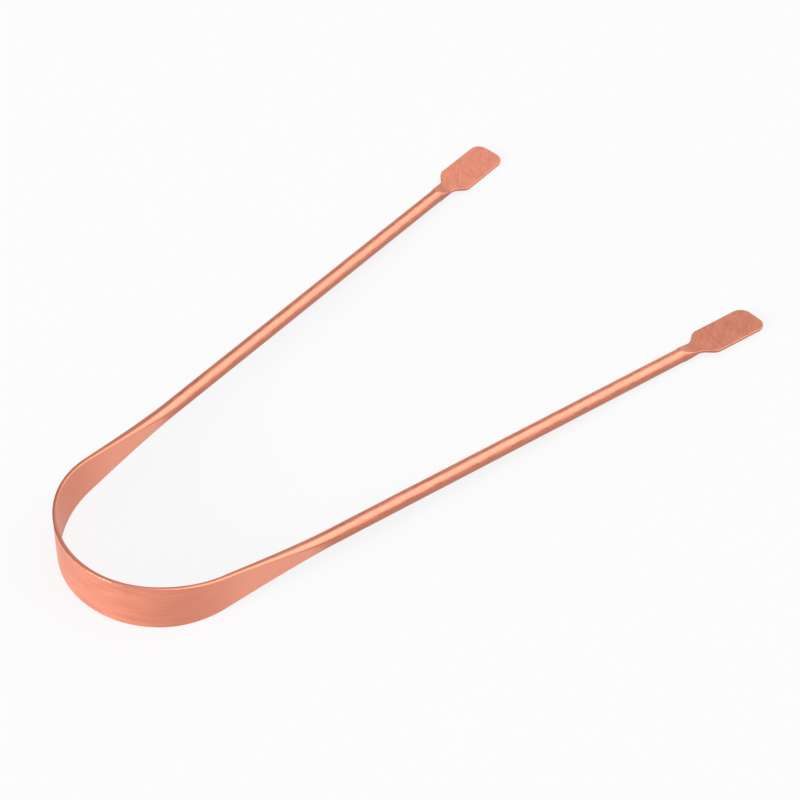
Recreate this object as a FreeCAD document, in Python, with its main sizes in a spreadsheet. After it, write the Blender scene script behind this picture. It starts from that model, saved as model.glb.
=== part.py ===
import FreeCAD, Part
import Sketcher
import math
import os

# A tongue scraper made of one length of round copper rod. The middle of the rod is rolled to a thin
# band and bent to a bow, the two arms stay round, and their ends are pressed to flat thumb tabs.
# Each formed section is a solid of its own, and neighbours meet face to face on the rod's line.
# The bow lies level, +Y runs from the bow to the tabs and +Z across the blade, in millimetres.

SIZES = {
    "overall_length": (145.0, "front of the bow to the middle of the tab ends"),
    "rod_diameter": (3.0, "round rod that everything is formed from"),
    "bow_radius": (19.5, "bow, to the middle of the band's thickness"),
    "arm_splay": (8.0, "degrees that each arm opens away from the middle"),
    "blade_width": (10.2, "rolled band at the bow, across the scraping edges"),
    "blade_thickness": (0.7, "rolled band at the bow"),
    "blade_half_arc": (43.0, "degrees of full-width blade each side of the middle"),
    "bow_taper_share": (0.355, "share of the taper that is done where the bow ends"),
    "flare_length": (24.0, "straight taper from the end of the bow to the round rod"),
    "flat_tip_width": (0.06, "width at which a pressed flat starts on the round rod"),
    "neck_length": (3.5, "rod pressed from round to plate"),
    "neck_width": (3.4, "narrow end of the tab plate"),
    "tab_length": (17.25, "tab plate along the arm"),
    "tab_width": (7.6, "tab plate across the arm"),
    "tab_thickness": (0.6, "tab plate"),
    "tab_tilt": (5.0, "degrees that the outer edge of each tab is raised"),
    "tab_edge_round": (0.15, "rounding of the tab's edges"),
    "neck_fillet": (2.2, "hollow corner from neck to shoulder, in plan"),
    "shoulder_slope": (40.0, "degrees between the shoulder and the arm, in plan"),
    "shoulder_radius": (2.3, "outer corner of the shoulder, in plan"),
    "end_radius": (2.4, "corners at the end of the tab, in plan"),
}

# Sections that each tapering stretch is drawn through, past its first one.
BOW_STEPS = 5
FLARE_STEPS = 8
NECK_STEPS = 5

# How much gentler the press gets towards the tab's plate, where 1 is a plain slope.
PRESS_EASE = 1.25

# Share of a plate's thickness that the rounding of an edge may take at most, and how close to a
# plane an edge has to be to lie on it.
MOST_ROUND = 0.45
NEAR = 0.001

# The two arms, seen with the tabs away from the viewer.
SIDES = ("right", "left")

# How a sketch numbers the points of an edge, its own axes and its origin.
START, END, CENTRE = range(1, 4)
X_AXIS, Y_AXIS = range(-1, -3, -1)
ORIGIN = X_AXIS

doc = FreeCAD.newDocument("tongue_scraper")


def make_sheet():
    """Driving dimensions, one row each: name, value, meaning."""
    sheet = doc.addObject("Spreadsheet::Sheet", "Sizes")
    for row, (name, (value, meaning)) in enumerate(SIZES.items(), start=1):
        sheet.set(f"A{row}", name)
        sheet.set(f"B{row}", str(value))
        sheet.setAlias(f"B{row}", name)
        sheet.set(f"C{row}", meaning)
    doc.recompute()
    return sheet


sheet = make_sheet()


def size(name):
    """The expression of one driving dimension."""
    return f"Sizes.{name}"


def value_of(expression):
    """The number that an expression has now."""
    return float(sheet.evalExpression(expression))


# Places that follow from the driving dimensions, as expressions. The origin is under the middle of
# the part's box, so the bow's centre and the arms' length come from the overall length.
SPLAY = f"({size('arm_splay')} * 1 deg)"
MIDDLE_Z = f"({size('blade_width')} / 2)"
BOW_Y = f"({size('bow_radius')} + ({size('blade_thickness')} - {size('overall_length')}) / 2)"
BOW_END_X = f"({size('bow_radius')} * cos({SPLAY}))"
BOW_END_Y = f"({BOW_Y} - {size('bow_radius')} * sin({SPLAY}))"
BOW_END_ANGLE = f"(90 - {size('arm_splay')})"
ARM_LENGTH = f"(({size('overall_length')} / 2 - {BOW_END_Y}) / cos({SPLAY}))"
TAB_START = f"({ARM_LENGTH} - {size('tab_length')})"
NECK_START = f"({TAB_START} - {size('neck_length')})"
ROD_LENGTH = f"({NECK_START} - {size('flare_length')})"
FLAT_START = f"({size('rod_diameter')} + {size('flat_tip_width')})"


def sign_of(side):
    """Sign of X on one side of the part."""
    return 1 if side == "right" else -1


def origin_part(body, role):
    """One of a body's own origin planes or axes."""
    return next(item for item in body.Origin.OriginFeatures if item.Role == role)


def new_body(node):
    body = doc.addObject("PartDesign::Body", node)
    body.Label = node
    return body


def place(body, base, yaw, pitch="0"):
    """Put a body at base, turned by pitch about its own Y and then by yaw about +Z."""
    for axis, expression in zip("xyz", base):
        body.setExpression(f"Placement.Base.{axis}", expression)
    body.setExpression("Placement.Rotation", f"create(<<rotation>>; {yaw}; {pitch}; 0)")


def place_in_bow(body):
    """Put a body at the bow's centre, its own +X towards the front of the bow."""
    place(body, ("0", BOW_Y, MIDDLE_Z), yaw="-90")


def place_on_arm(body, sign, along, pitch="0"):
    """Put a body on one arm, its own +Y along the arm, at a distance from the end of the bow."""
    x = f"{sign} * ({BOW_END_X} + ({along}) * sin({SPLAY}))"
    y = f"{BOW_END_Y} + ({along}) * cos({SPLAY})"
    place(body, (x, y, MIDDLE_Z), yaw=f"{-sign} * {size('arm_splay')}", pitch=pitch)


def new_sketch(body, name, role, swing=None, along=None):
    """A sketch on an origin plane, swung about its upright or moved along the body's +Y."""
    sketch = body.newObject("Sketcher::SketchObject", name)
    sketch.AttachmentSupport = [(origin_part(body, role), "")]
    sketch.MapMode = "FlatFace"
    if swing is not None:
        upright = FreeCAD.Vector(0, 1, 0)
        turn = FreeCAD.Rotation(upright, value_of(swing))
        sketch.AttachmentOffset = FreeCAD.Placement(FreeCAD.Vector(), turn)
        sketch.setExpression("AttachmentOffset.Rotation.Angle", f"({swing}) * 1 deg")
    if along is not None:
        sketch.setExpression("AttachmentOffset.Base.z", f"-({along})")
    return sketch


def bind(sketch, kind, *where, to):
    """Add a constraint whose value is the expression given by to."""
    index = sketch.addConstraint(Sketcher.Constraint(kind, *where, value_of(to)))
    sketch.setExpression(f"Constraints[{index}]", to)


def line(sketch, start, end):
    ends = (FreeCAD.Vector(*start, 0), FreeCAD.Vector(*end, 0))
    return sketch.addGeometry(Part.LineSegment(*ends))


def arc(sketch, centre, radius, start, end):
    circle = Part.Circle(FreeCAD.Vector(*centre, 0), FreeCAD.Vector(0, 0, 1), radius)
    return sketch.addGeometry(Part.ArcOfCircle(circle, start, end))


def join(sketch, kind, first, first_end, second, second_end):
    sketch.addConstraint(Sketcher.Constraint(kind, first, first_end, second, second_end))


def draw_obround(sketch, width, thickness, middle="0"):
    """A rolled section, width upright: two flats and two full-round edges about X = middle."""
    x = value_of(middle)
    radius = value_of(thickness) / 2
    flat = value_of(width) / 2 - radius
    outer = line(sketch, (x + radius, -flat), (x + radius, flat))
    top = arc(sketch, (x, flat), radius, 0, math.pi)
    inner = line(sketch, (x - radius, flat), (x - radius, -flat))
    bottom = arc(sketch, (x, -flat), radius, math.pi, 2 * math.pi)
    ring = [outer, top, inner, bottom]
    for item, following in zip(ring, ring[1:] + ring[:1]):
        join(sketch, "Tangent", item, END, following, START)
    sketch.addConstraint(Sketcher.Constraint("Symmetric", top, CENTRE, bottom, CENTRE, X_AXIS))
    sketch.addConstraint(Sketcher.Constraint("Vertical", outer))
    if middle == "0":
        sketch.addConstraint(Sketcher.Constraint("PointOnObject", top, CENTRE, Y_AXIS))
    else:
        bind(sketch, "DistanceX", ORIGIN, START, top, CENTRE, to=middle)
    bind(sketch, "Diameter", top, to=thickness)
    bind(sketch, "DistanceY", bottom, CENTRE, top, CENTRE, to=f"({width}) - ({thickness})")


def eased(share):
    """Expression of the share of a change that is done, starting and ending gently."""
    return f"(({share}) * ({share}) * (3 - 2 * ({share})))"


def rolled_section(share):
    """Width and thickness at a share of the taper, 0 at the blade and 1 at the round rod.

    The band widens as it is rolled thinner, so the inverse of the thickness follows the width.
    """
    rod = eased(share)
    blade = f"(1 - {rod})"
    width = f"({blade} * {size('blade_width')} + {rod} * {FLAT_START})"
    thickness = f"(1 / ({blade} / {size('blade_thickness')} + {rod} / {size('rod_diameter')}))"
    return width, thickness


def pressed_section(share):
    """Width and thickness at a share of the neck, 0 at the round rod and 1 at the tab plate."""
    rod = f"pow(1 - {share}; {PRESS_EASE})"
    plate = f"(1 - {rod})"
    width = f"({rod} * {FLAT_START} + {plate} * {size('neck_width')})"
    thickness = f"({rod} * {size('rod_diameter')} + {plate} * {size('tab_thickness')})"
    return width, thickness


def loft(body, name, sections):
    feature = body.newObject("PartDesign::AdditiveLoft", name)
    feature.Profile = sections[0]
    feature.Sections = sections[1:]
    feature.Ruled = False
    return feature


def make_blade():
    """Full-width middle of the bow: the rolled section turned about the bow's axis."""
    body = new_body("scraping_blade")
    sketch = new_sketch(body, "blade_section", "XZ_Plane")
    draw_obround(sketch, size("blade_width"), size("blade_thickness"), size("bow_radius"))
    turn = body.newObject("PartDesign::Revolution", "blade_bow")
    turn.Profile = sketch
    turn.ReferenceAxis = (origin_part(body, "Z_Axis"), [""])
    turn.Midplane = True
    turn.setExpression("Angle", f"2 * {size('blade_half_arc')} * 1 deg")
    place_in_bow(body)
    return body


def make_bow_spring(side, sign):
    """End of the bow, where the band narrows and thickens: the part that flexes."""
    body = new_body(f"{side}_bow_spring")
    sections = []
    for step in range(BOW_STEPS + 1):
        share = step / BOW_STEPS
        swing = f"{sign} * ({size('blade_half_arc')} * {1 - share} + {BOW_END_ANGLE} * {share})"
        sketch = new_sketch(body, f"{side}_bow_section_{step}", "XZ_Plane", swing=swing)
        width, thickness = rolled_section(f"{size('bow_taper_share')} * {share}")
        draw_obround(sketch, width, thickness, size("bow_radius"))
        sections.append(sketch)
    loft(body, f"{side}_bow_taper", sections)
    place_in_bow(body)
    return body


def make_flare(side, sign):
    """Straight taper at the start of an arm, from the end of the bow to the round rod."""
    body = new_body(f"{side}_flare")
    sections = []
    for step in range(FLARE_STEPS + 1):
        share = step / FLARE_STEPS
        along = f"{size('flare_length')} * {share}"
        sketch = new_sketch(body, f"{side}_flare_section_{step}", "XZ_Plane", along=along)
        width, thickness = rolled_section(f"{size('bow_taper_share')} * {1 - share} + {share}")
        draw_obround(sketch, width, thickness)
        sections.append(sketch)
    loft(body, f"{side}_flare_taper", sections)
    place_on_arm(body, sign, "0")
    return body


def make_arm_rod(side, sign):
    """Round rod between the flare and the neck."""
    body = new_body(f"{side}_arm_rod")
    sketch = new_sketch(body, f"{side}_rod_section", "XZ_Plane")
    circle = Part.Circle(FreeCAD.Vector(), FreeCAD.Vector(0, 0, 1), value_of(size("rod_diameter")) / 2)
    ring = sketch.addGeometry(circle)
    join(sketch, "Coincident", ring, CENTRE, ORIGIN, START)
    bind(sketch, "Diameter", ring, to=size("rod_diameter"))
    pad = body.newObject("PartDesign::Pad", f"{side}_rod_pad")
    pad.Profile = sketch
    pad.Reversed = True
    pad.setExpression("Length", ROD_LENGTH)
    place_on_arm(body, sign, size("flare_length"))
    return body


def make_neck(side, sign):
    """Rod pressed from round to plate, its flats facing up and down."""
    body = new_body(f"{side}_neck")
    sections = []
    for step in range(NECK_STEPS + 1):
        share = step / NECK_STEPS
        along = f"{size('neck_length')} * {share}"
        sketch = new_sketch(body, f"{side}_neck_section_{step}", "XZ_Plane", along=along)
        draw_obround(sketch, *pressed_section(str(share)))
        sections.append(sketch)
    loft(body, f"{side}_neck_press", sections)
    place_on_arm(body, sign, NECK_START, pitch=f"90 - {sign} * {size('tab_tilt')}")
    return body


def draw_half_tab(sketch):
    """Half of the tab's plan: root, hollow corner, shoulder, side, rounded end, middle line."""
    root = value_of(size("neck_width")) / 2
    side = value_of(size("tab_width")) / 2
    end = value_of(size("tab_length"))
    hollow = value_of(size("neck_fillet"))
    outer = value_of(size("shoulder_radius"))
    corner = value_of(size("end_radius"))
    slope = math.radians(value_of(size("shoulder_slope")))
    hollow_end = (root + hollow * (1 - math.cos(slope)), hollow * math.sin(slope))
    outer_start_x = side - outer * (1 - math.cos(slope))
    outer_start_y = hollow_end[1] + (outer_start_x - hollow_end[0]) / math.tan(slope)
    outer_centre = (side - outer, outer_start_y + outer * math.sin(slope))
    corner_centre = (side - corner, end - corner)

    root_line = line(sketch, (0, 0), (root, 0))
    hollow_arc = arc(sketch, (root + hollow, 0), hollow, math.pi - slope, math.pi)
    slope_line = line(sketch, hollow_end, (outer_start_x, outer_start_y))
    outer_arc = arc(sketch, outer_centre, outer, -slope, 0)
    side_line = line(sketch, (side, outer_centre[1]), (side, corner_centre[1]))
    corner_arc = arc(sketch, corner_centre, corner, 0, math.pi / 2)
    end_line = line(sketch, (corner_centre[0], end), (0, end))
    middle_line = line(sketch, (0, end), (0, 0))

    join(sketch, "Coincident", root_line, START, ORIGIN, START)
    join(sketch, "Coincident", root_line, END, hollow_arc, END)
    join(sketch, "Tangent", hollow_arc, START, slope_line, START)
    join(sketch, "Tangent", slope_line, END, outer_arc, START)
    join(sketch, "Tangent", outer_arc, END, side_line, START)
    join(sketch, "Tangent", side_line, END, corner_arc, START)
    join(sketch, "Tangent", corner_arc, END, end_line, START)
    join(sketch, "Coincident", end_line, END, middle_line, START)
    join(sketch, "Coincident", middle_line, END, root_line, START)
    sketch.addConstraint(Sketcher.Constraint("Horizontal", root_line))
    sketch.addConstraint(Sketcher.Constraint("Horizontal", end_line))
    sketch.addConstraint(Sketcher.Constraint("Vertical", side_line))
    sketch.addConstraint(Sketcher.Constraint("Vertical", middle_line))
    sketch.addConstraint(Sketcher.Constraint("PointOnObject", hollow_arc, CENTRE, X_AXIS))
    bind(sketch, "DistanceX", root_line, START, root_line, END, to=f"{size('neck_width')} / 2")
    bind(sketch, "DistanceX", ORIGIN, START, side_line, END, to=f"{size('tab_width')} / 2")
    bind(sketch, "DistanceY", middle_line, END, middle_line, START, to=size("tab_length"))
    bind(sketch, "Radius", hollow_arc, to=size("neck_fillet"))
    bind(sketch, "Radius", outer_arc, to=size("shoulder_radius"))
    bind(sketch, "Radius", corner_arc, to=size("end_radius"))
    from_root = sketch.addConstraint(Sketcher.Constraint("Angle", slope_line, math.pi / 2 - slope))
    sketch.setExpression(f"Constraints[{from_root}]", f"(90 - {size('shoulder_slope')}) * 1 deg")


def make_thumb_tab(side, sign):
    """Flat tab that a finger and thumb hold, its edges rounded all round but at the neck."""
    body = new_body(f"{side}_thumb_tab")
    sketch = new_sketch(body, f"{side}_tab_plan", "XY_Plane")
    draw_half_tab(sketch)
    pad = body.newObject("PartDesign::Pad", f"{side}_tab_half")
    pad.Profile = sketch
    pad.Midplane = True
    pad.setExpression("Length", size("tab_thickness"))
    whole = body.newObject("PartDesign::Mirrored", f"{side}_tab_whole")
    whole.Originals = [pad]
    whole.MirrorPlane = (origin_part(body, "YZ_Plane"), [""])
    whole.Refine = True
    body.Tip = whole
    doc.recompute()
    face_height = value_of(size("tab_thickness")) / 2
    round_edges = []
    for number, edge in enumerate(whole.Shape.Edges, start=1):
        box = edge.BoundBox
        on_a_face = box.ZLength < NEAR and abs(abs(box.ZMax) - face_height) < NEAR
        if on_a_face and box.YMax > NEAR:
            round_edges.append(f"Edge{number}")
    rounding = body.newObject("PartDesign::Fillet", f"{side}_tab_rounding")
    rounding.Base = (whole, round_edges)
    most = f"{MOST_ROUND} * {size('tab_thickness')}"
    rounding.setExpression("Radius", f"min({size('tab_edge_round')}; {most})")
    body.Tip = rounding
    place_on_arm(body, sign, TAB_START, pitch=f"{-sign} * {size('tab_tilt')}")
    return body


def make_parts():
    bodies = [make_blade()]
    for side in SIDES:
        for make in (make_bow_spring, make_flare, make_arm_rod, make_neck, make_thumb_tab):
            bodies.append(make(side, sign_of(side)))
    doc.recompute()
    return bodies


def check(bodies):
    """Stop on any object that failed and on any solid that is missing or not sound."""
    for item in doc.Objects:
        if "Invalid" in item.State or "Error" in item.State:
            raise RuntimeError(f"{item.Label} failed: {item.State}")
    for body in bodies:
        shape = body.Shape
        if shape.isNull() or not shape.isValid() or len(shape.Solids) != 1:
            raise RuntimeError(f"{body.Label} is not one sound solid")


def write(bodies):
    os.makedirs("parts", exist_ok=True)
    for body in bodies:
        body.Shape.exportStep(f"parts/{body.Label}.step")
        box = body.Shape.BoundBox
        low = f"{box.XMin:8.2f} {box.YMin:8.2f} {box.ZMin:8.2f}"
        high = f"{box.XMax:8.2f} {box.YMax:8.2f} {box.ZMax:8.2f}"
        print(f"{body.Label:20s} volume {body.Shape.Volume:8.2f}  box {low} to {high}")


parts = make_parts()
check(parts)
write(parts)
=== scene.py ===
import math
from collections import namedtuple

import bmesh
import bpy
from mathutils import Euler, Matrix, Vector


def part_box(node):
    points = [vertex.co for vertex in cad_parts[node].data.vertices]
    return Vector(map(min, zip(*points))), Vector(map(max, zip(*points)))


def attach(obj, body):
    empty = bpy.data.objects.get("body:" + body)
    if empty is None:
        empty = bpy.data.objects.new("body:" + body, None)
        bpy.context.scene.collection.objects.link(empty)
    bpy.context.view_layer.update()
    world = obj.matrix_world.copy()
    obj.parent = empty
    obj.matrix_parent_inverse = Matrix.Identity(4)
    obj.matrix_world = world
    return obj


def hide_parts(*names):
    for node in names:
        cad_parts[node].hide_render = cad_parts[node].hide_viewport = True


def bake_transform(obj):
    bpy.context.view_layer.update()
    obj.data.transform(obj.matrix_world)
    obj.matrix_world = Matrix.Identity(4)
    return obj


# A tongue scraper of one copper rod: the middle is rolled to a thin band and bent to a bow, the
# arms stay round, and their ends are pressed to flat thumb tabs. Each formed section is a piece
# here.

bl_info = {
    "name": "Copper tongue scraper",
    "version": (1, 0, 0),
    "blender": (4, 5, 0),
    "location": "3D View > Sidebar > Scraper",
    "description": "Models a bent copper tongue scraper around its packed solids",
    "category": "Mesh",
}

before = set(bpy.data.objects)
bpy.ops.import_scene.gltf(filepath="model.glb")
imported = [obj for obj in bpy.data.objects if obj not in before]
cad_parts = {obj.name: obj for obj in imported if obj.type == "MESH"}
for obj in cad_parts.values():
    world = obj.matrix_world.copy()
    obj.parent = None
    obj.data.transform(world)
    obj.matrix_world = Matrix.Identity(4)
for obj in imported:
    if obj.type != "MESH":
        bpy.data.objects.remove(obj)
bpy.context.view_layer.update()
blade_low, blade_high = (Vector(corner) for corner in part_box("scraping_blade"))
tab_low, tab_high = (Vector(corner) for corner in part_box("right_thumb_tab"))

UP = Vector((0.0, 0.0, 1.0))
ACROSS = Vector((1.0, 0.0, 0.0))
FORWARD = Vector((0.0, 1.0, 0.0))
RIGHT_ANGLE = math.pi / 2
SIDES = ("right", "left")

# Segments of each quarter round of a section, of the tab's rounded rim and of its plan's corners.
ROUND_SEGMENTS = 14
EDGE_SEGMENTS = 8
CORNER_SEGMENTS = 12

# How far inside its ends a section gets a ring of its own, which keeps the shading even across the
# joint.
RING_INSET = 0.00005

# How close points have to be to merge, on a section and on the tab, and to count as level.
MERGE_DISTANCE = 1e-8
TAB_MERGE_DISTANCE = 5e-6
SAME_LEVEL = 0.00005

# Faces that turn less than the first become one face, and edges that turn more than the second stay
# sharp in the shading.
FLAT_ANGLE = math.radians(1)
SHARP_ANGLE = math.radians(40)

# How much gentler the press gets towards the plate, and how late along the flare the band's edges
# get round: 1 is a plain slope.
PRESS_EASE = 1.25
EDGE_EASE = 3

# Where a face counts as upright and where as a rounded edge, by the square of its normal's upward
# part, and where the painted shade of sides and undersides is full and where it ends, by that
# part itself.
UPRIGHT, ROUNDED = 0.02, 0.25
UNDERSIDE, TOPSIDE = 0.1, 0.55

# Detail of the fine lines and of the mottling, and how much each changes the roughness.
LINE_DETAIL, LINE_ROUGHNESS = 4.0, 0.25
MOTTLE_DETAIL, MOTTLE_ROUGHNESS = 2.0, 0.1

# Middle of the noise, and of the tone between the two coppers of the grain.
MIDTONE = 0.5

# Slants of the scratches on the tabs, in degrees.
SCRATCH_SLANTS = (4, 38, 64)

# Colour sockets of a Mix node. Its sockets for numbers and vectors have the same names.
MIX_FACTOR, MIX_FIRST, MIX_SECOND, MIX_RESULT = 0, 6, 7, 2

# Where the room's walls begin and end and where its ceiling is full, by the upward part of a
# direction.
WALL_FOOT, WALL_TOP, CEILING = 0.1, 0.6, 0.95

# Nearest distance that the camera sees.
NEAR_LIMIT = 0.01


def length(name, description, default):
    return bpy.props.FloatProperty(
        name=name, description=description, default=default, min=0.0, precision=5, unit="LENGTH"
    )


def angle(name, description, degrees):
    return bpy.props.FloatProperty(
        name=name, description=description, default=math.radians(degrees), subtype="ANGLE"
    )


def share(name, description, default):
    return bpy.props.FloatProperty(
        name=name, description=description, default=default, min=0.0, max=1.0, subtype="FACTOR"
    )


def number(name, description, default):
    return bpy.props.FloatProperty(name=name, description=description, default=default)


def colour(name, description, default):
    return bpy.props.FloatVectorProperty(
        name=name, description=description, default=default, size=4, min=0.0, max=1.0,
        subtype="COLOR",
    )


class ScraperSizes(bpy.types.PropertyGroup):
    """Sizes that the rod is formed to."""

    rod_diameter: length("Rod diameter", "Round rod that everything is formed from", 0.003)
    bow_radius: length("Bow radius", "Bow, to the middle of the band's thickness", 0.0195)
    arm_splay: angle("Arm splay", "How far each arm opens away from the middle", 8)
    arm_length: length("Arm length", "End of the bow to the end of the tab", 0.12912)
    blade_width: length("Blade width", "Rolled band across its edges", (blade_high - blade_low).z)
    blade_thickness: length("Blade thickness", "Rolled band at the bow", 0.0007)
    blade_half_arc: angle("Blade half arc", "Full-width blade each side of the middle", 43)
    bow_taper_share: share("Bow taper", "Share of the taper that is done where the bow ends", 0.355)
    edge_roundness: share("Edge roundness", "How far the band's edges are rounded over", 0.2)
    flare_length: length("Flare length", "Straight taper from the bow to the round rod", 0.024)
    flat_tip: length("Flat tip", "Width at which a flat starts on the round rod", 0.00002)
    neck_length: length("Neck length", "Rod pressed from round to plate", 0.0035)
    neck_width: length("Neck width", "Narrow end of the tab plate", 0.0034)
    tab_length: length("Tab length", "Tab plate along the arm", 0.01725)
    tab_width: length("Tab width", "Tab plate across the arm", 0.0076)
    tab_thickness: length("Tab thickness", "Tab plate", 0.0006)
    tab_edge_round: length("Tab edge round", "Rounding of the tab's edges", 0.00015)
    tab_tilt: angle("Tab tilt", "How far the outer edge of each tab is raised", 5)
    neck_fillet: length("Neck fillet", "Hollow corner from neck to shoulder", 0.0022)
    shoulder_slope: angle("Shoulder slope", "Between the shoulder and the arm", 40)
    shoulder_radius: length("Shoulder radius", "Outer corner of the shoulder", 0.0023)
    end_radius: length("End radius", "Corners at the end of the tab", 0.0024)
    bow_step: length("Bow step", "Distance between the band's rings in the bow", 0.00034)
    flare_step: length("Flare step", "Distance between the rings of the flare", 0.0005)
    neck_step: length("Neck step", "Distance between the rings of the neck", 0.0002)
    bend_reach: length("Bend reach", "Length from the middle over which squeezing bends it", 0.042)


class CopperFinish(bpy.types.PropertyGroup):
    """Colours and grain of the copper."""

    copper: colour("Copper", "Clean satin copper", (0.75, 0.284, 0.188, 1.0))
    shade: colour("Shade", "Darker copper in the grain", (0.65, 0.235, 0.152, 1.0))
    # Painted sheen: paler copper standing in for the brighter reflection on the flares' flats.
    painted_sheen: colour("Painted sheen", "Paler copper on the flares' flats", (0.88, 0.365, 0.25, 1.0))
    # Painted shade: darker copper standing in for the shade on sides and undersides.
    painted_shade: colour("Painted shade", "Darker copper on sides and undersides", (0.5, 0.18, 0.118, 1.0))
    blade_roughness: share("Blade roughness", "Brushed band", 0.47)
    edge_roughness: share("Edge roughness", "Round edges of the band", 0.3)
    rod_roughness: share("Rod roughness", "Drawn rod", 0.36)
    tab_roughness: share("Tab roughness", "Pressed plate", 0.36)
    # Where the painted sheen on the flares' flats begins to rise, is full and begins to fade.
    painted_sheen_start: length("Painted sheen start", "Past the blade, where the flats begin to pale", 0.003)
    painted_sheen_full: length("Painted sheen full", "Past the bow, where the flats are palest", 0.007)
    painted_sheen_fade: length("Painted sheen fade", "Past the bow, where the flats begin to darken", 0.017)


class StudioLook(bpy.types.PropertyGroup):
    """Floor, light and camera."""

    floor_colour: colour("Floor colour", "Plain pale floor", (0.55, 0.55, 0.55, 1.0))
    floor_whiteness: share("Floor whiteness", "Share of the floor that is plain white", 0.84)
    floor_roughness: share("Floor roughness", "Matt floor", 0.9)
    floor_size: length("Floor size", "Side of the floor", 8.0)
    low_light: number("Low light", "Brightness of the room at the horizon", 0.62)
    middle_light: number("Middle light", "Brightness of the room between the two", 0.55)
    high_light: number("High light", "Brightness of the room overhead", 1.08)
    key_strength: number("Key strength", "Brightness of the soft box behind on the right", 2.1)
    key_turn: angle("Key turn", "Soft box, turned from the front towards the right", 142)
    key_height: angle("Key height", "Soft box above the horizon", 51)
    key_size: angle("Key size", "Half the angle that the soft box fills", 34)
    back_strength: number("Back strength", "Brightness of the backdrop behind on the left", 0.42)
    back_turn: angle("Back turn", "Backdrop, turned from the front towards the right", 210)
    back_height: angle("Back height", "Backdrop above the horizon", 8)
    back_size: angle("Back size", "Half the angle that the backdrop fills", 28)
    side_strength: number("Side strength", "Brightness of the soft box behind, high up", 0.2)
    side_turn: angle("Side turn", "High soft box, turned from the front towards the right", 192)
    side_height: angle("Side height", "High soft box above the horizon", 46)
    side_size: angle("Side size", "Half the angle that the high soft box fills", 17)
    fill_strength: number("Fill strength", "Brightness of the soft box low in front", 45)
    fill_turn: angle("Fill turn", "Front soft box, turned from the front towards the right", -8)
    fill_height: angle("Fill height", "Front soft box above the horizon", 8)
    fill_size: angle("Fill size", "Half the angle that the front soft box fills", 13)
    box_edge: share("Box edge", "Share of a soft box over which it fades out", 0.55)
    camera_place: bpy.props.FloatVectorProperty(
        name="Camera place", description="Where the camera stands", subtype="TRANSLATION",
        default=(0.19620, -0.20076, 0.27390), precision=5, unit="LENGTH",
    )
    camera_yaw: angle("Camera yaw", "Turn of the view to the left of +Y", 43.2876)
    camera_pitch: angle("Camera pitch", "How far the view looks down", 44.0413)
    camera_roll: angle("Camera roll", "Turn of the camera about its view", 2.9836)
    focal_length: bpy.props.FloatProperty(
        name="Focal length", description="Lens on a 36 mm wide sensor", default=89.685,
        unit="CAMERA",
    )


# One section of the rod: its middle, its heading from +X, the direction of its width, its size, and
# how far each of its round edges stands out from the flats.
Section = namedtuple("Section", "middle heading spread width thickness edge")


def eased(part):
    """Share of a change that is done, starting and ending gently."""
    return part * part * (3 - 2 * part)


def mixed(start, end, part):
    return start + (end - start) * part


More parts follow.
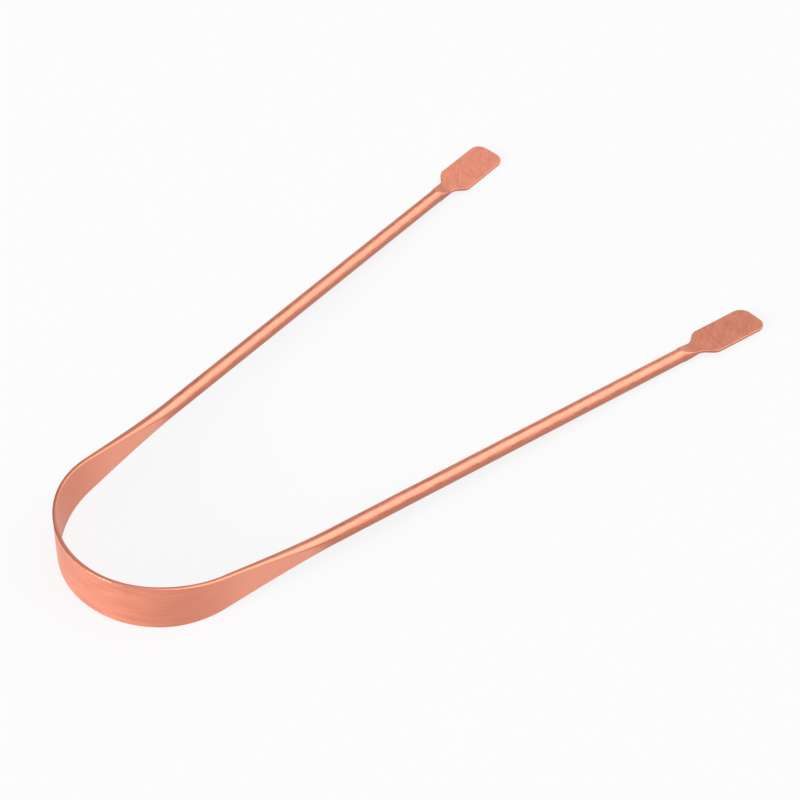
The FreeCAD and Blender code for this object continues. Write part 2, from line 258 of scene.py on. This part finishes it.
class RodLine:
    """The line that the right half of the rod follows, by length from the middle of the bow."""

    def __init__(self, sizes):
        self.sizes = sizes
        crown_y = blade_low.y + sizes.blade_thickness / 2
        middle_z = (blade_low.z + blade_high.z) / 2
        self.bow_centre = Vector((0.0, crown_y + sizes.bow_radius, middle_z))
        self.bow_angle = RIGHT_ANGLE - sizes.arm_splay
        self.rolled_off = sizes.rod_diameter - sizes.blade_thickness
        self.middle = 0.0
        self.blade_end = sizes.bow_radius * sizes.blade_half_arc
        self.bow_end = sizes.bow_radius * self.bow_angle
        self.flare_end = self.bow_end + sizes.flare_length
        self.end = self.bow_end + sizes.arm_length
        self.tab_start = self.end - sizes.tab_length
        self.neck_start = self.tab_start - sizes.neck_length

    def heading(self, along):
        return min(along / self.sizes.bow_radius, self.bow_angle)

    def direction(self, along):
        heading = self.heading(along)
        return Vector((math.cos(heading), math.sin(heading), 0.0))

    def outward(self, along):
        heading = self.heading(along)
        return Vector((math.sin(heading), -math.cos(heading), 0.0))

    def point(self, along):
        on_bow = self.bow_centre + self.outward(along) * self.sizes.bow_radius
        return on_bow + self.direction(along) * max(along - self.bow_end, 0.0)

    def taper(self, along):
        """Share of the taper that is done, 0 on the blade and 1 on the round rod."""
        if along <= self.blade_end:
            return 0.0
        if along <= self.bow_end:
            part = (along - self.blade_end) / (self.bow_end - self.blade_end)
            return self.sizes.bow_taper_share * part
        part = min((along - self.bow_end) / self.sizes.flare_length, 1.0)
        return mixed(self.sizes.bow_taper_share, 1.0, part)

    def rolled(self, along):
        """Rolled section: as the band gets thinner it widens, so its area stays about the same."""
        rod = eased(self.taper(along))
        start_width = self.sizes.rod_diameter + self.sizes.flat_tip
        width = mixed(self.sizes.blade_width, start_width, rod)
        thickness = 1 / mixed(1 / self.sizes.blade_thickness, 1 / self.sizes.rod_diameter, rod)
        drawn = (thickness - self.sizes.blade_thickness) / self.rolled_off
        edge = self.edge(thickness, mixed(self.sizes.edge_roundness, 1.0, drawn**EDGE_EASE))
        return Section(self.point(along), self.heading(along), UP, width, thickness, edge)

    def edge(self, thickness, roundness):
        """How far an edge stands out: between the rod's own curve and a full round."""
        rod_radius = self.sizes.rod_diameter / 2
        half = min(thickness / 2, rod_radius)
        rod_curve = rod_radius - math.sqrt(rod_radius**2 - half**2)
        return mixed(rod_curve, half, roundness)

    def pressed(self, along):
        """Pressed section of the neck, not yet put on the arm: steep at the rod, then level."""
        plate = 1 - (1 - along / self.sizes.neck_length) ** PRESS_EASE
        start_width = self.sizes.rod_diameter + self.sizes.flat_tip
        width = mixed(start_width, self.sizes.neck_width, plate)
        thickness = mixed(self.sizes.rod_diameter, self.sizes.tab_thickness, plate)
        edge = self.edge(thickness, self.sizes.edge_roundness)
        return Section(Vector((0.0, along, 0.0)), RIGHT_ANGLE, ACROSS, width, thickness, edge)

    def tab_turn(self):
        """Turn of the neck and the tab: the outer edge raised, and along the arm."""
        return Euler((0.0, -self.sizes.tab_tilt, self.bow_angle - RIGHT_ANGLE))

    def unbent(self, point):
        """Where a point is on the straight rod: along it, outwards and up, negative on the left."""
        side = -1.0 if point.x < 0 else 1.0
        right = Vector((abs(point.x), point.y, point.z))
        arm = right - self.point(self.bow_end)
        past_bow = arm.dot(self.direction(self.bow_end))
        if past_bow > 0:
            along = self.bow_end + past_bow
            out = arm.dot(self.outward(self.bow_end))
        else:
            spoke = right - self.bow_centre
            along = math.atan2(spoke.x, -spoke.y) * self.sizes.bow_radius
            out = math.hypot(spoke.x, spoke.y) - self.sizes.bow_radius
        return side * along, out, point.z - self.bow_centre.z


def pick(piece):
    """Select one piece alone."""
    bpy.ops.object.select_all(action="DESELECT")
    piece.select_set(True)
    bpy.context.view_layer.objects.active = piece


def new_plate(name):
    """Add a unit plate at the origin and go into edit mode with all of it selected."""
    bpy.ops.object.select_all(action="DESELECT")
    bpy.ops.mesh.primitive_plane_add(size=1)
    piece = bpy.context.object
    piece.name = name
    piece.data.name = name
    bpy.ops.object.mode_set(mode="EDIT")
    bpy.ops.mesh.select_mode(type="VERT")
    bpy.ops.mesh.select_all(action="SELECT")
    return piece


def put(piece, place, turn):
    """Turn and move a piece from the origin, and keep its place in its mesh."""
    bpy.ops.object.mode_set(mode="OBJECT")
    piece.location = place
    piece.rotation_euler = turn
    bpy.ops.object.transform_apply(location=True, rotation=True, scale=True)


def select_points(piece, wanted):
    """Select the points for which wanted is true, and the edges and faces between them."""
    mesh = bmesh.from_edit_mesh(piece.data)
    for vertex in mesh.verts:
        vertex.select_set(wanted(vertex))
    mesh.select_flush(True)
    mesh.select_flush(False)
    bmesh.update_edit_mesh(piece.data)


def start_section(name, section):
    """A plate cut to the first section: two flats and two round edges."""
    piece = new_plate(name)
    bpy.ops.transform.resize(value=(section.thickness, section.width, 1.0))
    half = section.thickness / 2
    bpy.ops.mesh.bevel(
        offset=half, segments=ROUND_SEGMENTS, affect="VERTICES", clamp_overlap=False
    )
    bpy.ops.mesh.remove_doubles(threshold=MERGE_DISTANCE)
    full_round = section._replace(middle=Vector(), spread=FORWARD, edge=half)
    flatter = section.edge / full_round.edge
    bpy.ops.transform.resize(value=(1.0, flatter, 1.0), center_override=full_round.middle)
    spread_edges(piece, full_round, full_round._replace(edge=section.edge))
    travel = Vector((math.cos(section.heading), math.sin(section.heading), 0.0))
    thin = section.spread.cross(-travel)
    turn = Matrix((thin, section.spread, -travel)).transposed().to_euler()
    put(piece, section.middle, turn)
    bpy.ops.object.mode_set(mode="EDIT")
    bpy.ops.mesh.select_all(action="SELECT")
    return piece


def spread_edges(piece, here, there):
    """Move the two edges of the selected ring apart, to the width of the next section."""
    flat_now = (here.width / 2 - here.edge) * there.edge / here.edge
    apart = there.width / 2 - there.edge - flat_now
    mesh = bmesh.from_edit_mesh(piece.data)
    ring = {vertex.index for vertex in mesh.verts if vertex.select}
    for sign in (1, -1):
        select_points(
            piece,
            lambda v: v.index in ring and (v.co - there.middle).dot(there.spread) * sign > 0,
        )
        bpy.ops.transform.translate(value=there.spread * sign * apart)
    select_points(piece, lambda v: v.index in ring)


def grow(piece, here, there):
    """Extrude the end face to the next section: moved, turned, scaled, and its edges set apart."""
    step = there.middle - here.middle
    bpy.ops.mesh.extrude_region_move(TRANSFORM_OT_translate={"value": step})
    turn = here.heading - there.heading
    bpy.ops.transform.rotate(value=turn, orient_axis="Z", center_override=there.middle)
    thicker = there.thickness / here.thickness
    bolder = there.edge / here.edge
    scale = [bolder if part else thicker for part in there.spread]
    bpy.ops.transform.resize(value=scale, center_override=there.middle)
    spread_edges(piece, here, there)


def stations(start, end, step):
    """Lengths along the rod from start to end, with a ring close to each end."""
    count = max(round((end - start) / step), 1)
    inner = [mixed(start, end, index / count) for index in range(1, count)]
    return [start, start + RING_INSET, *inner, end - RING_INSET, end]


def grow_piece(name, section_at, lengths):
    """A closed piece of rod through the sections at these lengths."""
    sections = [section_at(along) for along in lengths]
    piece = start_section(name, sections[0])
    for here, there in zip(sections, sections[1:]):
        grow(piece, here, there)
    bpy.ops.object.mode_set(mode="OBJECT")
    return piece


def round_corners(piece, height, radius, turn):
    """Round the plan's corners that lie at one height along the tab."""
    select_points(piece, lambda v: abs(v.co.y - height) < SAME_LEVEL)
    bpy.ops.mesh.bevel(
        offset=radius * math.tan(turn / 2), segments=CORNER_SEGMENTS, affect="VERTICES",
        clamp_overlap=False,
    )


def cut_tab(name, line):
    """Tab plate: its plan drawn flat, corners rounded, thickened, and its rim rounded."""
    sizes = line.sizes
    hollow_y = sizes.neck_fillet * math.tan(sizes.shoulder_slope / 2)
    rise = (sizes.tab_width - sizes.neck_width) / 2
    shoulder_y = hollow_y + rise / math.tan(sizes.shoulder_slope)
    piece = new_plate(name)
    bpy.ops.transform.resize(value=(sizes.neck_width, hollow_y, 1.0))
    bpy.ops.transform.translate(value=(0.0, hollow_y / 2, 0.0))
    select_points(piece, lambda v: v.co.y > hollow_y / 2)
    bpy.ops.mesh.extrude_region_move(
        TRANSFORM_OT_translate={"value": (0.0, shoulder_y - hollow_y, 0.0)}
    )
    wider = sizes.tab_width / sizes.neck_width
    bpy.ops.transform.resize(value=(wider, 1.0, 1.0), center_override=(0.0, shoulder_y, 0.0))
    bpy.ops.mesh.extrude_region_move(
        TRANSFORM_OT_translate={"value": (0.0, sizes.tab_length - shoulder_y, 0.0)}
    )
    bpy.ops.mesh.select_all(action="SELECT")
    bpy.ops.mesh.dissolve_limited(angle_limit=FLAT_ANGLE)
    round_corners(piece, sizes.tab_length, sizes.end_radius, RIGHT_ANGLE)
    round_corners(piece, shoulder_y, sizes.shoulder_radius, sizes.shoulder_slope)
    round_corners(piece, hollow_y, sizes.neck_fillet, sizes.shoulder_slope)
    bpy.ops.mesh.select_all(action="SELECT")
    bpy.ops.mesh.remove_doubles(threshold=TAB_MERGE_DISTANCE)
    bpy.ops.mesh.select_all(action="SELECT")
    bpy.ops.transform.translate(value=UP * (-sizes.tab_thickness / 2))
    bpy.ops.mesh.extrude_region_move(TRANSFORM_OT_translate={"value": UP * sizes.tab_thickness})
    round_rim(piece, sizes.tab_edge_round)
    put(piece, line.point(line.tab_start), line.tab_turn())
    return piece


def round_rim(piece, radius):
    """Round the edges of both faces of a plate, all but its root."""
    bpy.ops.mesh.select_mode(type="EDGE")
    bpy.ops.mesh.select_all(action="DESELECT")
    mesh = bmesh.from_edit_mesh(piece.data)
    for edge in mesh.edges:
        first, second = (vertex.co for vertex in edge.verts)
        level = abs(first.z - second.z) < SAME_LEVEL
        at_root = max(first.y, second.y) < SAME_LEVEL
        edge.select_set(level and not at_root)
    bmesh.update_edit_mesh(piece.data)
    bpy.ops.mesh.bevel(offset=radius, segments=EDGE_SEGMENTS, affect="EDGES", clamp_overlap=False)
    bpy.ops.mesh.select_mode(type="VERT")
    bpy.ops.mesh.select_all(action="SELECT")
    bpy.ops.mesh.remove_doubles(threshold=TAB_MERGE_DISTANCE)


def mirrored(piece, name):
    """A copy of a right-hand piece for the left, with a mesh of its own."""
    pick(piece)
    bpy.ops.object.duplicate()
    copy = bpy.context.object
    copy.name = name
    copy.data.name = name
    copy.scale = (-1.0, 1.0, 1.0)
    bpy.ops.object.transform_apply(location=True, rotation=True, scale=True)
    return copy


def complete(piece, line, material):
    """Turn the faces outwards, smooth them, note the place on the straight rod, give the finish."""
    pick(piece)
    bpy.ops.object.mode_set(mode="EDIT")
    bpy.ops.mesh.select_all(action="SELECT")
    bpy.ops.mesh.normals_make_consistent(inside=False)
    mesh = bmesh.from_edit_mesh(piece.data)
    torn = sum(len(edge.link_faces) != 2 for edge in mesh.edges)
    bpy.ops.object.mode_set(mode="OBJECT")
    if torn:
        raise RuntimeError(f"{piece.name} is not closed: {torn} edges")
    bpy.ops.object.shade_smooth_by_angle(angle=SHARP_ANGLE)
    weigh = piece.modifiers.new("Even shading", "WEIGHTED_NORMAL")
    weigh.keep_sharp = True
    bpy.ops.object.modifier_apply(modifier=weigh.name)
    place = piece.data.attributes.new("unbent", "FLOAT_VECTOR", "POINT")
    for vertex, value in zip(piece.data.vertices, place.data):
        value.vector = line.unbent(vertex.co)
    piece.data.materials.append(material)


class Wire:
    """A node's output. Sums and products of wires and numbers add Math nodes."""

    def __init__(self, nodes, socket):
        self.nodes = nodes
        self.socket = socket

    def math(self, operation, first, second):
        return self.nodes.add("ShaderNodeMath", {"operation": operation}, {0: first, 1: second})

    def __add__(self, other):
        return self.math("ADD", self, other)

    def __radd__(self, other):
        return self.math("ADD", other, self)

    def __sub__(self, other):
        return self.math("SUBTRACT", self, other)

    def __rsub__(self, other):
        return self.math("SUBTRACT", other, self)

    def __mul__(self, other):
        return self.math("MULTIPLY", self, other)

    def __rmul__(self, other):
        return self.math("MULTIPLY", other, self)


class Nodes:
    """The nodes of one material or world."""

    def __init__(self, owner):
        owner.use_nodes = True
        self.tree = owner.node_tree
        self.tree.nodes.clear()

    def add(self, kind, settings, inputs, output=0):
        """Add a node with its settings and inputs, and give one of its outputs."""
        node = self.tree.nodes.new(kind)
        for key, value in settings.items():
            setattr(node, key, value)
        for key, value in inputs.items():
            if isinstance(value, Wire):
                self.tree.links.new(value.socket, node.inputs[key])
            else:
                node.inputs[key].default_value = value
        return Wire(self, node.outputs[output]) if node.outputs else None

    def unbent(self):
        """Place on the straight rod."""
        return self.add("ShaderNodeAttribute", {"attribute_name": "unbent"}, {}, "Vector")

    def grain(self, size, turn, detail):
        """Noise about 0 on the straight rod, of a size in metres along it, outwards and up."""
        stretched = self.add(
            "ShaderNodeMapping", {"vector_type": "TEXTURE"},
            {"Vector": self.unbent(), "Rotation": (0.0, 0.0, turn), "Scale": size},
        )
        noise = self.add(
            "ShaderNodeTexNoise", {}, {"Vector": stretched, "Scale": 1.0, "Detail": detail}, "Fac"
        )
        return noise - MIDTONE

    def blended(self, factor, first, second):
        """Go from the first to the second colour as the factor goes from 0 to 1."""
        return self.add(
            "ShaderNodeMix", {"data_type": "RGBA"},
            {MIX_FACTOR: factor, MIX_FIRST: first, MIX_SECOND: second}, MIX_RESULT,
        )


def smoothly(nodes, value, start, end, first, last):
    """Go from the first to the last number while a value goes from start to end."""
    ends = {"From Min": start, "From Max": end, "To Min": first, "To Max": last}
    return nodes.add(
        "ShaderNodeMapRange", {"interpolation_type": "SMOOTHSTEP"}, {"Value": value, **ends}
    )


def copper(
    name, finish, flat, round_edge, lines, contrast, mottle, speckle, depth, underside_painted_shade, flare=None
):
    """Copper with fine lines and a mottling. Flats and round edges each have their own roughness,
    and sides and undersides get a painted shade. On a flare the flats get a paler painted sheen and
    get as smooth as the rod."""
    material = bpy.data.materials.get(name)
    if material:
        return material
    material = bpy.data.materials.new(name)
    nodes = Nodes(material)
    fine = sum(nodes.grain(size, turn, LINE_DETAIL) for size, turn in lines) * (1 / len(lines))
    broad = nodes.grain(mottle, 0.0, MOTTLE_DETAIL)
    smooth = nodes.add("ShaderNodeNewGeometry", {}, {}, "Normal")
    upward = nodes.add("ShaderNodeSeparateXYZ", {}, {"Vector": smooth}, "Z")
    # Painted shade: the more a face turns sideways or down, the more of the darker copper it gets.
    below = smoothly(nodes, upward, UNDERSIDE, TOPSIDE, underside_painted_shade, 0.0)
    tone = fine * contrast + broad * speckle + MIDTONE
    tint = nodes.blended(tone, tuple(finish.shade), tuple(finish.copper))
    height = fine
    if flare:
        start, full, fade, end = flare
        along = nodes.add("ShaderNodeSeparateXYZ", {}, {"Vector": nodes.unbent()}, "X")
        travelled = along * along
        flat = smoothly(nodes, travelled, start**2, end**2, flat, finish.rod_roughness)
        upright = smoothly(nodes, upward * upward, UPRIGHT, ROUNDED, 1.0, 0.0)
        # Painted sheen on the upright flats of a flare: rising past the blade, fading towards the
        # rod.
        rising = smoothly(nodes, travelled, start**2, full**2, 0.0, 1.0)
        fading = smoothly(nodes, travelled, fade**2, end**2, 1.0, 0.0)
        # Paint the brighter reflection of the flats into the colour.
        tint = nodes.blended(rising * fading * upright, tint, tuple(finish.painted_sheen))
        # On a flare the painted shade only comes in where the painted sheen fades.
        below = below * (1 - fading)
        height = fine * upright
    # Paint the shade of sides and undersides into the colour.
    tint = nodes.blended(below, tint, tuple(finish.painted_shade))
    rim = smoothly(nodes, upward * upward, UPRIGHT, ROUNDED, flat, round_edge)
    shader = nodes.add(
        "ShaderNodeBsdfPrincipled", {},
        {
            "Base Color": tint,
            "Metallic": 1.0,
            "Roughness": rim + broad * speckle * MOTTLE_ROUGHNESS + fine * LINE_ROUGHNESS,
            "Normal": nodes.add(
                "ShaderNodeBump", {}, {"Strength": 1.0, "Distance": depth, "Height": height}
            ),
        },
    )
    nodes.add("ShaderNodeOutputMaterial", {}, {"Surface": shader})
    return material


def blade_copper(finish, line):
    """Rolled band, brushed lengthwise, that gets as smooth as the rod along the flare."""
    # Lengths along the rod where the flats' painted sheen begins, is full, fades and ends.
    flare = (
        line.blade_end + finish.painted_sheen_start, line.bow_end + finish.painted_sheen_full,
        line.bow_end + finish.painted_sheen_fade, line.flare_end,
    )
    return copper(
        "Brushed copper band", finish, finish.blade_roughness, finish.edge_roughness,
        lines=[((0.008, 0.0004, 0.0004), 0.0)], contrast=2.2,
        # Painted shade on sides and undersides, near the rod's end of the flare.
        mottle=(0.008, 0.008, 0.006), speckle=1.5, depth=0.00006, underside_painted_shade=0.85, flare=flare,
    )


def rod_copper(finish):
    """Drawn rod, with the die's fine lines and a soft speckle."""
    return copper(
        "Drawn copper rod", finish, finish.rod_roughness, finish.rod_roughness,
        lines=[((0.003, 0.0004, 0.0004), 0.0)], contrast=5.0,
        # Painted shade on sides and undersides.
        mottle=(0.0008, 0.0006, 0.0006), speckle=3.0, depth=0.00004, underside_painted_shade=0.85,
    )


def tab_copper(finish):
    """Pressed plate, with fine scratches across it and at a slant."""
    scratches = [((0.0003, 0.004, 0.004), math.radians(slant)) for slant in SCRATCH_SLANTS]
    return copper(
        "Pressed copper tab", finish, finish.tab_roughness, finish.tab_roughness,
        lines=scratches, contrast=8.0,
        # Painted shade on sides and undersides.
        mottle=(0.003, 0.003, 0.003), speckle=1.5, depth=0.00006, underside_painted_shade=0.9,
    )


def sizes_and_finish(context):
    return context.scene.scraper_sizes, context.scene.scraper_finish


class BandOperator:
    """What the operators of the bending band share."""

    def make_pair(self, context, name, node, start, end, step):
        """Model a stretch of the band on the right and mirror it."""
        sizes, finish = sizes_and_finish(context)
        line = RodLine(sizes)
        lengths = stations(getattr(line, start), getattr(line, end), step)
        right = grow_piece(f"right_{name}", line.rolled, lengths)
        left = mirrored(right, f"left_{name}")
        material = blade_copper(finish, line)
        crown = line.point(line.middle)
        reach = line.point(sizes.bend_reach)
        for side, piece in zip(SIDES, (right, left)):
            complete(piece, line, material)
            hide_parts(node.format(side=side))
            far = reach if side == "right" else Vector((-reach.x, reach.y, reach.z))
            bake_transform(piece)


class SCRAPER_OT_blade(BandOperator, bpy.types.Operator):
    """Model the full-width blade, one half each side of the middle of the bow"""

    bl_idname = "scraper.blade"
    bl_label = "Scraping blade"

    def execute(self, context):
        sizes, _ = sizes_and_finish(context)
        self.make_pair(
            context, "blade_half", "scraping_blade", "middle", "blade_end", sizes.bow_step
        )
        return {"FINISHED"}


class SCRAPER_OT_bow_bands(BandOperator, bpy.types.Operator):
    """Model the narrowing ends of the bow, which flex"""

    bl_idname = "scraper.bow_bands"
    bl_label = "Bow bands"

    def execute(self, context):
        sizes, _ = sizes_and_finish(context)
        self.make_pair(
            context, "bow_band", "{side}_bow_spring", "blade_end", "bow_end", sizes.bow_step
        )
        return {"FINISHED"}


class SCRAPER_OT_flares(BandOperator, bpy.types.Operator):
    """Model the straight tapers from the bow to the round rod"""

    bl_idname = "scraper.flares"
    bl_label = "Flares"

    def execute(self, context):
        sizes, _ = sizes_and_finish(context)
        self.make_pair(
            context, "flare_taper", "{side}_flare", "bow_end", "flare_end", sizes.flare_step
        )
        return {"FINISHED"}


def finish_pair(right, name, node, line, material):
    """Copy a stiff piece to the left, and let each ride on its own arm."""
    left = mirrored(right, f"left_{name}")
    for side, piece in zip(SIDES, (right, left)):
        complete(piece, line, material)
        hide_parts(f"{side}_{node}")
        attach(piece, f"{side}_arm")


class SCRAPER_OT_rods(bpy.types.Operator):
    """Model the round rods of the arms"""

    bl_idname = "scraper.rods"
    bl_label = "Arm rods"

    def execute(self, context):
        sizes, finish = sizes_and_finish(context)
        line = RodLine(sizes)
        lengths = (line.flare_end, line.neck_start)
        right = grow_piece("right_rod", line.rolled, lengths)
        finish_pair(right, "rod", "arm_rod", line, rod_copper(finish))
        return {"FINISHED"}


class SCRAPER_OT_necks(bpy.types.Operator):
    """Model the necks, pressed from round rod to plate"""

    bl_idname = "scraper.necks"
    bl_label = "Necks"

    def execute(self, context):
        sizes, finish = sizes_and_finish(context)
        line = RodLine(sizes)
        lengths = stations(0.0, sizes.neck_length, sizes.neck_step)
        right = grow_piece("right_neck_press", line.pressed, lengths)
        put(right, line.point(line.neck_start), line.tab_turn())
        finish_pair(right, "neck_press", "neck", line, tab_copper(finish))
        return {"FINISHED"}


class SCRAPER_OT_tabs(bpy.types.Operator):
    """Model the flat thumb tabs"""

    bl_idname = "scraper.tabs"
    bl_label = "Thumb tabs"

    def execute(self, context):
        sizes, finish = sizes_and_finish(context)
        line = RodLine(sizes)
        right = cut_tab("right_tab_plate", line)
        finish_pair(right, "tab_plate", "thumb_tab", line, tab_copper(finish))
        return {"FINISHED"}


def lay_floor(look, line):
    """Pale floor that the blade's edge and the tab ends rest on."""
    heel = line.point(line.blade_end)
    slope = math.atan2(tab_low.z - blade_low.z, tab_high.y - heel.y)
    bpy.ops.object.select_all(action="DESELECT")
    bpy.ops.mesh.primitive_plane_add(size=look.floor_size)
    floor = bpy.context.object
    floor.name = "floor"
    put(floor, (0.0, heel.y, blade_low.z), (slope, 0.0, 0.0))
    material = bpy.data.materials.new("Pale floor")
    nodes = Nodes(material)
    shaded = nodes.add(
        "ShaderNodeBsdfPrincipled", {},
        {
            "Base Color": tuple(look.floor_colour),
            "Roughness": look.floor_roughness,
            "Specular IOR Level": 0.0,
        },
    )
    white = nodes.add("ShaderNodeEmission", {}, {"Strength": 1.0})
    seen, mirrored_by_metal, seen_through = (
        nodes.add("ShaderNodeLightPath", {}, {}, f"Is {ray} Ray")
        for ray in ("Camera", "Glossy", "Transmission")
    )
    whiteness = (seen + mirrored_by_metal + seen_through) * look.floor_whiteness
    shader = nodes.add("ShaderNodeMixShader", {}, {0: whiteness, 1: shaded, 2: white})
    nodes.add("ShaderNodeOutputMaterial", {}, {"Surface": shader})
    floor.data.materials.append(material)


def soft_box(nodes, direction, look, name):
    """Share of one soft box that is seen in a direction: 1 in its middle, fading out at its rim."""
    turn, height, size = (getattr(look, f"{name}_{part}") for part in ("turn", "height", "size"))
    level = math.cos(height)
    middle = (math.sin(turn) * level, -math.cos(turn) * level, math.sin(height))
    towards = nodes.add(
        "ShaderNodeVectorMath", {"operation": "DOT_PRODUCT"}, {0: direction, 1: middle}, "Value"
    )
    outer = math.cos(size * (1 + look.box_edge))
    inner = math.cos(size * (1 - look.box_edge))
    return smoothly(nodes, towards, outer, inner, 0.0, 1.0)


def light_room(look):
    """A pale room with soft boxes behind on the right, high behind and low in front, and a brighter
    backdrop behind on the left."""
    world = bpy.data.worlds.new("Soft room")
    bpy.context.scene.world = world
    nodes = Nodes(world)
    direction = nodes.add("ShaderNodeTexCoord", {}, {}, "Generated")
    upward = nodes.add("ShaderNodeSeparateXYZ", {}, {"Vector": direction}, "Z")
    brighter = look.high_light - look.middle_light
    walls = smoothly(nodes, upward, WALL_FOOT, WALL_TOP, look.low_light, look.middle_light)
    ceiling = smoothly(nodes, upward, WALL_TOP, CEILING, 0.0, brighter)
    room = walls + ceiling
    boxes = sum(
        soft_box(nodes, direction, look, name) * getattr(look, f"{name}_strength")
        for name in ("key", "back", "side", "fill")
    )
    background = nodes.add("ShaderNodeBackground", {}, {"Strength": room + boxes})
    nodes.add("ShaderNodeOutputWorld", {}, {"Surface": background})


def stand_camera(look):
    """Camera at the view of the photograph."""
    bpy.ops.object.camera_add(location=look.camera_place)
    camera = bpy.context.object
    pitch = RIGHT_ANGLE - look.camera_pitch
    turn = Matrix.Rotation(look.camera_yaw, 3, "Z") @ Matrix.Rotation(pitch, 3, "X")
    turn = turn @ Matrix.Rotation(look.camera_roll, 3, "Z")
    camera.rotation_euler = turn.to_euler()
    camera.data.lens = look.focal_length
    camera.data.clip_start = NEAR_LIMIT
    bpy.context.scene.camera = camera


class SCRAPER_OT_stage(bpy.types.Operator):
    """Lay the floor, light the room and stand the camera"""

    bl_idname = "scraper.stage"
    bl_label = "Stage"

    def execute(self, context):
        look = context.scene.scraper_look
        lay_floor(look, RodLine(context.scene.scraper_sizes))
        light_room(look)
        stand_camera(look)
        context.scene.view_settings.view_transform = "Standard"
        return {"FINISHED"}


OPERATORS = (
    SCRAPER_OT_blade,
    SCRAPER_OT_bow_bands,
    SCRAPER_OT_flares,
    SCRAPER_OT_rods,
    SCRAPER_OT_necks,
    SCRAPER_OT_tabs,
    SCRAPER_OT_stage,
)


class SCRAPER_PT_panel(bpy.types.Panel):
    """Sidebar panel with the scraper's pieces, sizes, finish and studio"""

    bl_idname = "SCRAPER_PT_panel"
    bl_label = "Tongue scraper"
    bl_space_type = "VIEW_3D"
    bl_region_type = "UI"
    bl_category = "Scraper"

    def draw(self, context):
        scene = context.scene
        for operator in OPERATORS:
            self.layout.operator(operator.bl_idname)
        for group in (scene.scraper_sizes, scene.scraper_finish, scene.scraper_look):
            box = self.layout.box()
            for name in group.__annotations__:
                box.prop(group, name)


GROUPS = {
    "scraper_sizes": ScraperSizes,
    "scraper_finish": CopperFinish,
    "scraper_look": StudioLook,
}


def register():
    for item in (*GROUPS.values(), *OPERATORS, SCRAPER_PT_panel):
        bpy.utils.register_class(item)
    for name, group in GROUPS.items():
        setattr(bpy.types.Scene, name, bpy.props.PointerProperty(type=group))


def unregister():
    for name in GROUPS:
        delattr(bpy.types.Scene, name)
    for item in (*GROUPS.values(), *OPERATORS, SCRAPER_PT_panel):
        bpy.utils.unregister_class(item)


def main():
    register()
    bpy.ops.scraper.blade()
    bpy.ops.scraper.bow_bands()
    bpy.ops.scraper.flares()
    bpy.ops.scraper.rods()
    bpy.ops.scraper.necks()
    bpy.ops.scraper.tabs()
    bpy.ops.scraper.stage()


if __name__ == "__main__":
    main()
